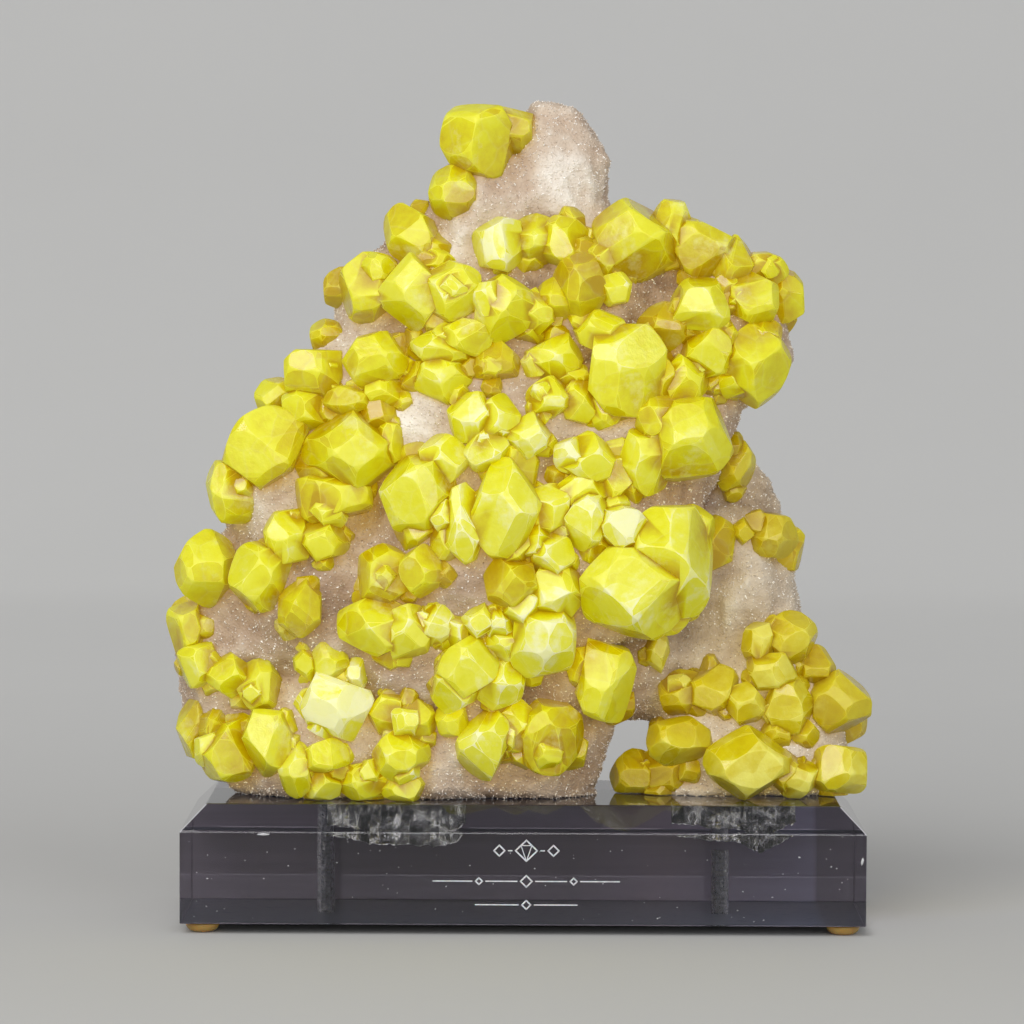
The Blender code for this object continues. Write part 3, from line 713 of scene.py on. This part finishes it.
def scatterGrains(rock, name, seed, finish):
    # tiny druse points set into the crust
    seedBm = bmesh.new()
    bmesh.ops.create_cone(seedBm, cap_ends=True, segments=5, radius1=0.5, radius2=0, depth=1.1)
    grain = finishObject(seedBm, "grain_seed", [finish])
    group = bpy.data.node_groups.new(name, "GeometryNodeTree")
    group.interface.new_socket("Geometry", in_out="INPUT", socket_type="NodeSocketGeometry")
    group.interface.new_socket("Geometry", in_out="OUTPUT", socket_type="NodeSocketGeometry")
    start, end = group.nodes.new("NodeGroupInput"), group.nodes.new("NodeGroupOutput")
    lean = rockShape["grainTilt"]
    spread = addNode(group, "GeometryNodeDistributePointsOnFaces", Mesh=start.outputs[0], Seed=seed,
                     Density=float(rockShape["grainsPerSquareMetre"]))
    source = addNode(group, "GeometryNodeObjectInfo", Object=grain)
    tilt = addNode(group, "FunctionNodeRandomValue", data_type="FLOAT_VECTOR", Seed=seed + 1)
    tilt.inputs[0].default_value, tilt.inputs[1].default_value = (-lean, -lean, 0), (lean, lean, 6.28)
    turn = addNode(group, "FunctionNodeRotateRotation", rotation_space="LOCAL")
    feed(group, turn.inputs[0], spread.outputs["Rotation"])
    feed(group, turn.inputs[1], tilt.outputs[0])
    size = addNode(group, "FunctionNodeRandomValue", data_type="FLOAT", Seed=seed + 2)
    for socket, value in zip((size.inputs[2], size.inputs[3]), rockShape["grainSize"]):
        socket.default_value = value * mm
    place = addNode(group, "GeometryNodeInstanceOnPoints", Points=spread.outputs["Points"],
                    Instance=source.outputs["Geometry"], Rotation=turn.outputs[0], Scale=size.outputs[1])
    real = addNode(group, "GeometryNodeRealizeInstances", Geometry=place.outputs["Instances"])
    feed(group, end.inputs[0], real.outputs[0])
    carrier = bpy.data.objects.new(name, rock.data)
    bpy.context.scene.collection.objects.link(carrier)
    carrier.modifiers.new("scatter", "NODES").node_group = group
    mesh = evaluatedMesh(carrier)
    bpy.data.objects.remove(carrier, do_unlink=True)
    bpy.data.objects.remove(grain, do_unlink=True)
    bpy.data.node_groups.remove(group)
    mesh.materials.clear()
    mesh.materials.append(finish)
    piece = bpy.data.objects.new(name, mesh)
    bpy.context.scene.collection.objects.link(piece)
    handIn(piece, "matrix")
    return piece


rock = makeRock()
print("crust made:", len(rock.data.polygons))
grainFinish = makeGrains()
for number in range(rockShape["grainPieces"]):
    piece = scatterGrains(rock, "druse_grains_%d" % (number + 1), 40 + number * 7, grainFinish)
    print("grains set:", len(piece.data.polygons))


# display block, rods and feet

blockShape = {
    "edge": 0.4,                    # mm
    "chamfer": 7.4,                 # height of the sloping rim, mm
    "absorption": 9,                # per metre
    "smoke": (0.46, 0.4, 0.52),
    "paintedShade": (0.19, 0.168, 0.2),
    # bottom face: painted shade, darker and bluer than the back
    "base": (0.04, 0.046, 0.064),
    # pale coat on the sloping corner bevels: painted highlight
    "rim": (0.8, 0.79, 0.84),
    "zones": (                      # share of the width, tint of the backing there
        (0.0, (1.0, 1.0, 1.0)), (0.58, (1.0, 1.0, 1.0)), (0.7, (1.5, 1.45, 1.45)), (0.855, (1.6, 1.7, 1.9)),
        (0.94, (1.6, 1.75, 2.0)), (0.945, (0.9, 0.9, 0.95)),
    ),
}


def makeAcrylic(name, colour, rough, lamps, wave=0.0, clear=1.0):
    material, tree, shader = newMaterial(name)
    haze = addNode(tree, "ShaderNodeVolumeAbsorption", Color=blockShape["smoke"], Density=blockShape["absorption"])
    tree.links.new(haze.outputs["Volume"], tree.nodes["Material Output"].inputs["Volume"])
    cloud, _ = useSpeckles(tree, 260, 3000)
    coat = colour
    if lamps < 0.5:                         # dark coat, painted shade for the dark surroundings seen through the block: brushed streaks, paler bluish bands to the right
        place, axes = objectPlace(tree)
        stretch = addNode(tree, "ShaderNodeMapping", Scale=(6, 6, 260), Vector=place)
        streaks = addNode(tree, "ShaderNodeTexNoise", Scale=1.0, Detail=4, Vector=stretch.outputs[0])
        across = mathNode(tree, "MULTIPLY_ADD", axes["X"], 0.5 / blockHigh.x, 0.5)
        zones = rampNode(tree, across, [(at, tuple(part * value for part, value in zip(tint, colour)))
                                        for at, tint in blockShape["zones"]])
        dim = mathNode(tree, "MULTIPLY", streaks.outputs["Fac"], 0.45)
        coat = mixColour(tree, dim, zones, (0.0, 0.0, 0.0))
    setSockets(shader, {"Base Color": coat, "Roughness": rampNode(tree, cloud, ((0.55, rough), (0.9, rough + 0.1))),
                        "IOR": 1.49, "Transmission Weight": clear})
    if clear < 0.2:
        setSockets(shader, {"Specular IOR Level": 0.12})
    if wave:
        bumpInto(tree, shader, cloud, wave, 0.003)
    lampsThrough(tree, shader, (lamps, lamps, lamps))
    return material


def makeBlock():
    bm = bmesh.new()
    bm.from_mesh(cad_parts["acrylic_block"].data)
    bmesh.ops.remove_doubles(bm, verts=bm.verts, dist=1e-6)
    bmesh.ops.dissolve_limit(bm, angle_limit=math.radians(1), verts=bm.verts, edges=bm.edges)
    half = (blockHigh - blockLow) / 2
    centre = (blockHigh + blockLow) / 2

    def outer(point):
        away = point - centre
        flat = any(abs(abs(away[axis]) - half[axis]) < 5e-5 for axis in range(3))
        slope = [half[axis] + half.z - blockShape["chamfer"] * mm for axis in (0, 1)]
        return flat or any(abs(abs(away[axis]) + away.z - slope[axis]) < 5e-5 for axis in (0, 1))

    rim = [edge for edge in bm.edges if edge.calc_face_angle(0) > 0.5
           and all(outer(face.calc_center_median()) for face in edge.link_faces)]
    # the back and the side slopes take a dark coat, the bottom a darker one: painted shade for what is seen through
    # the block
    for face in bm.faces:
        facing = face.normal
        dark = facing.y > 0.5 or (abs(facing.x) > 0.5 and facing.z > 0.3)
        coat = 3 if facing.z < -0.5 else 2 if dark else 0
        face.material_index = coat if outer(face.calc_center_median()) else 1
    made = bmesh.ops.bevel(bm, geom=rim, offset=blockShape["edge"] * mm, offset_type="OFFSET", affect="EDGES",
                           segments=2, profile=0.5, material=-1, clamp_overlap=False)
    for face in made["faces"]:              # the four sloping corner bevels take a pale frosted coat, a painted highlight
        if min(abs(face.normal.x), abs(face.normal.y), face.normal.z) > 0.2:
            face.material_index = 4
    print("block faces:", len(bm.faces), "rough:", sum(face.material_index == 1 for face in bm.faces))
    block = finishObject(bm, "display_block", [
        makeAcrylic("smoky acrylic", (1, 1, 1), 0.0, 0.95),
        makeAcrylic("carved acrylic", (0.95, 0.95, 0.97), 0.08, 0.95, 0.9),
        makeAcrylic("acrylic back, painted shade", blockShape["paintedShade"], 0.02, 0.4, clear=0.4),
        makeAcrylic("acrylic base, painted shade", blockShape["base"], 0.3, 0.2, clear=0.08),
        makeAcrylic("rim, painted highlight", blockShape["rim"], 0.35, 0.9, clear=0.5)])
    handIn(block, "acrylic", "acrylic_block")


# metallic sheet round the buried foot, a painted reflection for the silvery air gap of its seat: x and z of its ragged
# lower edge on the front plane
gapReflectionShape = {
    "left": {"depth": 13, "edge": ((-58, 29.8), (-51, 28.9), (-44.5, 27.3), (-35.3, 27.0), (-24, 26.6),
                                   (-19.5, 28.2), (-17, 30.6))},
    "right": {"depth": 15, "edge": ((43.8, 30.6), (48, 29.7), (57.6, 28.6), (63.7, 28.3), (66.7, 26.5),
                                    (70, 25.2), (75, 27.7), (80.5, 30.9))},
    "thickness": 0.5,               # mm
    "rim": 0.2,
    "steps": 9,                     # along each stretch of the edge
    "wave": 1.3,
}


def behindFront(x, z, depth):
    # a spot that lies deep in the block but is seen at x, z on its front
    away = (depth / 1.49 + frontPlane / mm - eye.y / mm) / ((frontPlane - eye.y) / mm)
    return Vector((eye.x + (middle.x + x * mm - eye.x) * away, frontPlane + depth * mm,
                   eye.z + (z * mm - eye.z) * away))


def addRod(bm, start, end, radius):
    along = end - start
    turn = along.to_track_quat("Z", "Y").to_matrix().to_4x4()
    bmesh.ops.create_cone(bm, cap_ends=True, segments=6, radius1=radius, radius2=radius, depth=along.length + radius,
                          matrix=Matrix.Translation((start + end) / 2) @ turn)


def makeGapReflections():
    material, tree, shader = newMaterial("silvery gap reflection")
    cloud, _ = useSpeckles(tree, 210, 900)
    # dark and bright patches on the metal: painted reflection
    shine = rampNode(tree, cloud, ((0.36, (0.08, 0.08, 0.085)), (0.5, (0.45, 0.45, 0.47)), (0.58, 1)))
    setSockets(shader, {"Base Color": shine, "Roughness": 0.16, "Metallic": 1.0})
    bumpInto(tree, shader, cloud, 1.0, 0.006)
    detail = random.Random(31)
    for side in ("left", "right"):
        shape = gapReflectionShape[side]
        edge = shape["edge"]
        bm = bmesh.new()
        lower = []
        for (x1, z1), (x2, z2) in zip(edge, edge[1:]):
            for step in range(gapReflectionShape["steps"]):
                share = step / gapReflectionShape["steps"]
                lower.append((x1 + (x2 - x1) * share, z1 + (z2 - z1) * share + detail.uniform(-0.35, 0.35)))
        lower.append(edge[-1])
        rows = []
        for x, z in lower:
            foot = behindFront(x, z, shape["depth"] + detail.uniform(-1, 1) * gapReflectionShape["wave"])
            rows.append((bm.verts.new(foot),
                         bm.verts.new((foot.x, foot.y + detail.uniform(0.5, 3) * mm, (foot.z + blockTop) / 2)),
                         bm.verts.new((foot.x, foot.y + detail.uniform(2, 5) * mm, blockTop - 0.7 * mm))))
        for one, two in zip(rows, rows[1:]):
            for level in range(2):
                bm.faces.new((one[level], two[level], two[level + 1], one[level + 1]))
        bmesh.ops.solidify(bm, geom=bm.faces[:], thickness=gapReflectionShape["thickness"] * mm)
        bmesh.ops.recalc_face_normals(bm, faces=bm.faces)
        # a thin rod of the same metal along the lower edge gives a bright ragged line, painted highlight
        ahead = Vector((0, -0.5 * mm, 0))
        feet = [row[0].co.copy() for row in rows]
        for one, two in zip(feet, feet[1:]):
            addRod(bm, one + ahead, two + ahead, gapReflectionShape["rim"] * mm)
        handIn(finishObject(bm, "foot_film_" + side, [material], smooth=True), "acrylic")


# frosted motif on the front, where a caption would be: strokes as x, z pairs
motifShape = {
    "width": 0.42,                  # mm
    "depth": 0.12,
    "rows": (
        {"z": 25.3, "half": 5.5, "gems": ((0, 3.2, 3.1), (-8, 1.6, 1.6), (8, 1.6, 1.6))},
        {"z": 16.2, "half": 27.5, "gems": ((0, 1.7, 1.7), (-14, 1.0, 1.0), (14, 1.0, 1.0))},
        {"z": 9.2, "half": 15.0, "gems": ((0, 1.3, 1.3),)},
    ),
    "slide": 1.0,                   # mm right of the middle
}


def addStroke(bm, first, second, width):
    # one flat cut line with a crowned top
    start, end = Vector(first), Vector(second)
    along = end - start
    turn = math.atan2(along.y, along.x)
    made = bmesh.ops.create_cube(bm, size=1)["verts"]
    bmesh.ops.scale(bm, verts=made, vec=(along.length + width, motifShape["depth"], width))
    bmesh.ops.rotate(bm, verts=made, matrix=Matrix.Rotation(-turn, 3, "Y"), cent=(0, 0, 0))
    bmesh.ops.translate(bm, verts=made, vec=((start.x + end.x) / 2, 0, (start.y + end.y) / 2))


def makeMotif():
    material, tree, shader = newMaterial("frosted cut")
    cloud, grain = useSpeckles(tree, 900, 4000)
    frosted = rampNode(tree, cloud, ((0.3, (0.48, 0.48, 0.50)), (0.7, (0.74, 0.74, 0.75))))
    setSockets(shader, {"Base Color": frosted, "Roughness": 0.7, "Subsurface Weight": 0.3, "Subsurface Scale": 0.0005})
    bumpInto(tree, shader, grain, 0.4, 0.0003)
    bm = bmesh.new()
    width = motifShape["width"]
    for row in motifShape["rows"]:
        stops = []
        for x, wide, tall in row["gems"]:
            ring = [(x - wide, row["z"]), (x, row["z"] + tall), (x + wide, row["z"]), (x, row["z"] - tall)]
            for first, second in zip(ring, ring[1:] + ring[:1]):
                addStroke(bm, first, second, width)
            if wide > 2:
                left, right = ((x + side * wide * 0.5, row["z"] + tall * 0.5) for side in (-1, 1))
                for first, second in ((left, right), (ring[3], left), (ring[3], right)):
                    addStroke(bm, first, second, width * 0.6)
            stops += [x - wide - 1.1, x + wide + 1.1]
        stops = sorted(stops + [-row["half"], row["half"]] if row["half"] > 6 else sorted(stops)[1:-1])
        for first, second in zip(stops[::2], stops[1::2]):
            addStroke(bm, (first, row["z"]), (second, row["z"]), width * 0.8)
    bmesh.ops.scale(bm, verts=bm.verts, vec=(mm, mm, mm))
    bmesh.ops.translate(bm, verts=bm.verts, vec=(middle.x + motifShape["slide"] * mm,
                                                 frontPlane - motifShape["depth"] * mm * 0.5, 0))
    handIn(finishObject(bm, "frosted_motif", [material]), "acrylic")


# chips, scratches and dust on the front and the sloping rim: x, z, length, height, turn
wearShape = {
    "chips": ((-76.7, 29.8, 4.4, 0.8, 0), (81.6, 23.7, 0.9, 0.5, 20), (100.2, 22.5, 0.9, 2.6, 8),
              (-55, 21.5, 0.7, 0.35, 10), (59.7, 19.5, 0.6, 0.4, 0)),
    "dust": 90,
    "dustSize": (0.12, 0.34),
    "seed": 5,
}


def makeWear():
    material, tree, shader = newMaterial("chips and dust")
    cloud, _ = useSpeckles(tree, 700, 3000)
    setSockets(shader, {"Base Color": rampNode(tree, cloud, ((0.3, (0.5, 0.5, 0.52)), (0.65, (0.85, 0.85, 0.88)))),
                        "Roughness": 0.4, "Transmission Weight": 0.3, "IOR": 1.4})
    detail = random.Random(wearShape["seed"])
    spots = list(wearShape["chips"])
    for _ in range(wearShape["dust"]):
        size = detail.uniform(*wearShape["dustSize"])
        spots.append((detail.uniform(-99, 99), detail.uniform(4, 31), size * detail.uniform(1, 2.2), size,
                      detail.uniform(-40, 40)))
    bm = bmesh.new()
    for x, z, length, height, turn in spots:
        made = bmesh.ops.create_icosphere(bm, subdivisions=1, radius=0.5)["verts"]
        bmesh.ops.scale(bm, verts=made, vec=(length * mm, 0.06 * mm, height * mm))
        bmesh.ops.rotate(bm, verts=made, matrix=Matrix.Rotation(math.radians(turn), 3, "Y"), cent=(0, 0, 0))
        bmesh.ops.translate(bm, verts=made, vec=(middle.x + x * mm, frontPlane, z * mm))
    handIn(finishObject(bm, "front_wear", [material], smooth=True), "acrylic")


# clear amber bumpers under the block, mm
footShape = {"radius": 5.0, "flat": 2.2, "height": 2.7, "rim": 0.4, "inset": 6.4, "steps": 48}


def makeFeet():
    material, tree, shader = newMaterial("amber bumper")
    setSockets(shader, {"Base Color": (0.75, 0.46, 0.12), "Roughness": 0.2, "IOR": 1.45,
                        "Transmission Weight": 0.55, "Subsurface Weight": 0.4, "Subsurface Scale": 0.003})
    _, grain = useSpeckles(tree, 300, 2000)
    bumpInto(tree, shader, grain, 0.1, 0.0004)
    shape = footShape
    for node in [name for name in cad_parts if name.startswith("foot_")]:
        low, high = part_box(node)
        bm = bmesh.new()
        arc = [(shape["flat"] + (shape["radius"] - shape["flat"]) * math.sin(turn * math.pi / 16),
                (shape["height"] - shape["rim"]) * (1 - math.cos(turn * math.pi / 16))) for turn in range(9)]
        profile = [(0, 0)] + arc + [(shape["radius"], shape["height"] - 0.1), (shape["radius"] - 0.1, shape["height"]),
                                    (0, shape["height"])]
        points = [bm.verts.new((radius * mm, 0, z * mm)) for radius, z in profile]
        edges = [bm.edges.new(pair) for pair in zip(points, points[1:])]
        bmesh.ops.spin(bm, geom=points + edges, axis=(0, 0, 1), cent=(0, 0, 0), angle=math.tau,
                       steps=shape["steps"], use_merge=True)
        bmesh.ops.remove_doubles(bm, verts=bm.verts, dist=1e-6)
        bmesh.ops.recalc_face_normals(bm, faces=bm.faces)
        bmesh.ops.translate(bm, verts=bm.verts, vec=((low.x + high.x) / 2, (low.y + high.y) / 2, low.z))
        foot = finishObject(bm, node + "_bumper", [material], smooth=True)
        foot.data.set_sharp_from_angle(angle=math.radians(50))
        handIn(foot, "bumper", node)


# clear rods with a bright ring, mm
rodShape = {
    "band": {"fixing_pin_left": (15.6, 15.9), "fixing_pin_right": (14.6, 16.2)},    # bottom and top of the ring
    "wall": 0.14,                   # radius of the scratches down the hole
}


def makeRodFinish(node):
    material, tree, shader = newMaterial("clear rod " + node[-5:].strip("_"))
    cloud, _ = useSpeckles(tree, 500, 2600)
    place, axes = objectPlace(tree)
    low, high = rodShape["band"][node]
    band = mathNode(tree, "MULTIPLY", mathNode(tree, "GREATER_THAN", axes["Z"], low * mm),
                    mathNode(tree, "LESS_THAN", axes["Z"], high * mm))
    tone = rampNode(tree, cloud, ((0.35, (0.66, 0.70, 0.82)), (0.7, (0.88, 0.91, 0.98))))
    setSockets(shader, {"Base Color": mixColour(tree, band, tone, (0.99, 0.99, 0.97)),
                        "Roughness": 0.3, "IOR": 1.49, "Transmission Weight": 0.1})
    marks = addNode(tree, "ShaderNodeTexWave", bands_direction="Z", Scale=260, Distortion=1.5, Detail=2, Vector=place)
    bumpInto(tree, shader, marks.outputs["Fac"], 0.35, 0.0006)
    return material


def makePins():
    for node in rodShape["band"]:
        low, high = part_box(node)
        bm = bmesh.new()
        radius = (high.x - low.x) / 2
        bmesh.ops.create_cone(bm, cap_ends=True, segments=40, radius1=radius, radius2=radius, depth=high.z - low.z,
                              matrix=Matrix.Translation((low + high) / 2))
        ends = [edge for edge in bm.edges if edge.calc_face_angle(0) > 1]
        bmesh.ops.bevel(bm, geom=ends, offset=0.3 * mm, offset_type="OFFSET", affect="EDGES", segments=2,
                        profile=0.5, material=-1, clamp_overlap=True)
        y = (low.y + high.y) / 2
        for x in (low.x - 0.1 * mm, high.x + 0.1 * mm):     # scratched walls of its hole
            addRod(bm, Vector((x, y, low.z + 0.5 * mm)), Vector((x, y, high.z)), rodShape["wall"] * mm)
        pin = finishObject(bm, node + "_rod", [makeRodFinish(node)], smooth=True)
        pin.data.set_sharp_from_angle(angle=math.radians(40))
        handIn(pin, "clear_rod", node)


makeBlock()
makeGapReflections()
makeMotif()
makeWear()
makeFeet()
makePins()
print("block, rods and feet made")


# studio

studio = {
    "paper": (1.0, 0.996, 0.982),   # sizes in metres
    # paper darker near the object and lighter up the wall: painted shade and light
    "paintedShading": ((0.0, 0.5), (0.07, 0.59), (0.167, 0.71), (0.286, 0.82), (0.42, 0.74)),   # from the object backwards
    "depth": 3.0,
    "wall": 2.1,
    "height": 3.0,
    "curve": 1.0,
    "air": (0.86, 0.87, 0.88),
    "airLight": 0.42,
}


def makeStudio():
    material, tree, shader = newMaterial("studio paper")
    cloud, _ = useSpeckles(tree, 6, 500)
    _, axes = objectPlace(tree)
    # painted shade and light: the paper's brightness changes from the object backwards
    tint = rampNode(tree, mathNode(tree, "MULTIPLY", axes["Y"], 0.5 / studio["wall"]),
                    [(at, tuple(shade * part for part in studio["paper"])) for at, shade in studio["paintedShading"]])
    setSockets(shader, {"Base Color": mixColour(tree, mathNode(tree, "MULTIPLY", cloud, 0.03), tint, (0.0, 0.0, 0.0)),
                        "Roughness": 0.9, "Specular IOR Level": 0.2})
    bm = bmesh.new()
    wall, curve = studio["wall"], studio["curve"]
    profile = [(-studio["depth"], 0)] + [(wall - curve + curve * math.sin(turn * math.pi / 32),
                                          curve - curve * math.cos(turn * math.pi / 32)) for turn in range(17)]
    profile.append((wall, studio["height"]))
    line = [bm.verts.new((-3, y, z)) for y, z in profile]
    edges = [bm.edges.new(pair) for pair in zip(line, line[1:])]
    grown = bmesh.ops.extrude_edge_only(bm, edges=edges)
    bmesh.ops.translate(bm, verts=[part for part in grown["geom"] if isinstance(part, bmesh.types.BMVert)],
                        vec=(6, 0, 0))
    bmesh.ops.recalc_face_normals(bm, faces=bm.faces)
    finishObject(bm, "studio_sweep", [material], smooth=True)


lights = {
    "key": {"place": (-0.95, -1.35, 1.35), "size": 1.5, "energy": 27, "colour": (1.0, 0.985, 0.96)},
    "fill": {"place": (1.2, -1.5, 0.8), "size": 1.4, "energy": 13, "colour": (0.97, 0.98, 1.0)},
    "front": {"place": (-0.1, -1.9, 0.5), "size": 0.8, "energy": 8, "colour": (1.0, 1.0, 1.0)},
}


def makeLights():
    for name, light in lights.items():
        data = bpy.data.lights.new(name, "AREA")
        data.size, data.energy, data.color = light["size"], light["energy"], light["colour"]
        lamp = bpy.data.objects.new(name, data)
        bpy.context.scene.collection.objects.link(lamp)
        lamp.location = light["place"]
        lamp.rotation_euler = (Vector((0, 0, 0.12)) - Vector(light["place"])).to_track_quat("-Z", "Y").to_euler()
    world = bpy.data.worlds.new("studio air")
    world.use_nodes = True
    setSockets(world.node_tree.nodes["Background"], {"Color": studio["air"], "Strength": studio["airLight"]})
    bpy.context.scene.world = world
    bpy.context.scene.view_settings.view_transform = "Standard"


makeStudio()
makeLights()
print("studio set")
